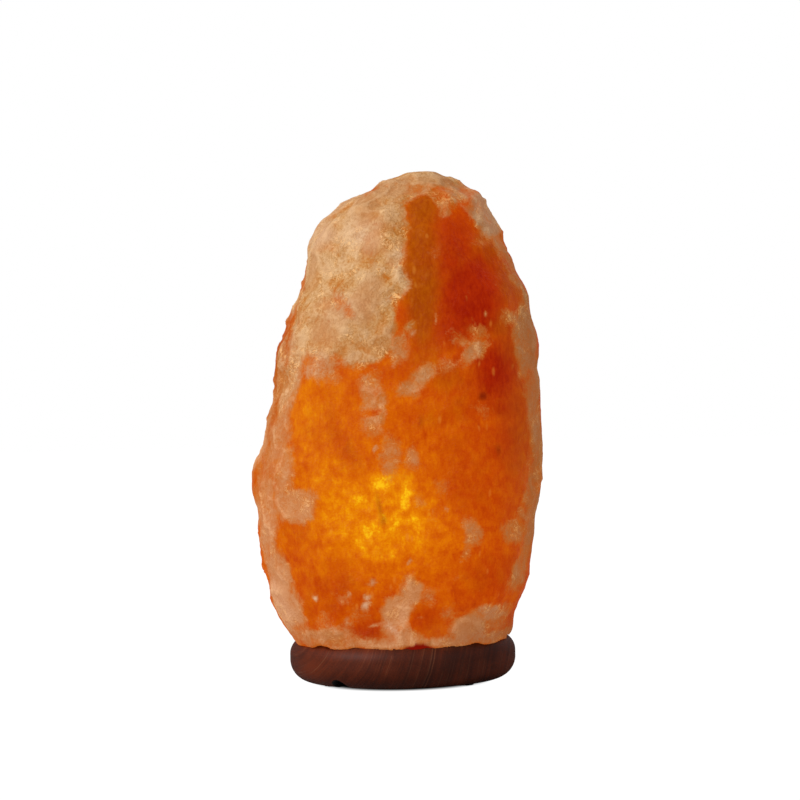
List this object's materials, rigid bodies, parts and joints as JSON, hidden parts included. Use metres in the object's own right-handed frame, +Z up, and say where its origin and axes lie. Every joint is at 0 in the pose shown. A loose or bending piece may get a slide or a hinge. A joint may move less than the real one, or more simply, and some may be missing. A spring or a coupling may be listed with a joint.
{
  "type": "salt crystal lamp",
  "caption": "Table lamp: a hewn block of orange rock salt on a round wooden base, lit from inside by a small screw-in bulb.",
  "frame": {"origin": "on the base's axis and under the middle of the block, at the level the lamp stands on", "axes": "+Z up, -Y towards the side seen in the picture, +X to that view's right"},
  "size_m": [0.1456, 0.1224, 0.2525],
  "materials": {
    "rock_salt": "rough-hewn, translucent orange rock salt with paler frosted patches, glowing from inside",
    "dark_wood": "dark reddish-brown stained hardwood, satin, fine grain",
    "felt": "dark pressed felt",
    "zinc_plated_steel": "zinc-plated pressed steel",
    "spring_steel": "plain spring steel",
    "brass": "turned or pressed brass",
    "black_plastic": "moulded black thermoset",
    "porcelain": "unglazed white porcelain",
    "solder": "dull solder",
    "black_glass": "opaque black glass",
    "nickel_plated_brass": "nickel-plated thin brass",
    "cement": "hard basing cement",
    "clear_glass": "clear glass",
    "lead_wire": "drawn nickel-iron wire",
    "glowing_tungsten": "coiled tungsten, lit"
  },
  "bodies": {
    "lamp": {"salt_crystal": "rock_salt", "wood_base": "dark_wood", "base_screws": "zinc_plated_steel", "felt_feet": "felt"},
    "fitting": {"cover_plate": "zinc_plated_steel", "spring_clip": "spring_steel", "entry_nipple": "brass", "nipple_nut": "brass", "lock_washer": "spring_steel", "holder_cap": "black_plastic", "holder_skirt": "black_plastic", "contact_block": "porcelain", "terminal_screws": "brass", "screw_shell": "brass", "centre_contact": "brass"},
    "bulb_tip": {"bulb_contact": "solder"},
    "bulb": {"bulb_insulator": "black_glass", "bulb_cap": "nickel_plated_brass", "basing_cement": "cement", "bulb_glass": "clear_glass", "bulb_stem": "clear_glass", "bulb_lead_wires": "lead_wire", "bulb_filament": "glowing_tungsten", "bulb_support_wire": "lead_wire"}
  },
  "joints": [
    {"name": "fitting_pull", "type": "slide", "parent": "lamp", "child": "fitting", "axis": [0, 0, -1], "range_m": [0, 0.115]},
    {"name": "bulb_lift", "type": "slide", "parent": "fitting", "child": "bulb_tip", "axis": [0, 0, 1], "range_m": [0, 0.0085]},
    {"name": "bulb_turn", "type": "hinge", "parent": "bulb_tip", "child": "bulb", "pos_m": [0, 0, 0.03965], "axis": [0, 0, 1], "range_deg": [0, 1080]}
  ],
  "couplings": [
    {"joint": "bulb_lift", "follows": "bulb_turn", "m_per_rad": 0.00044913}
  ]
}
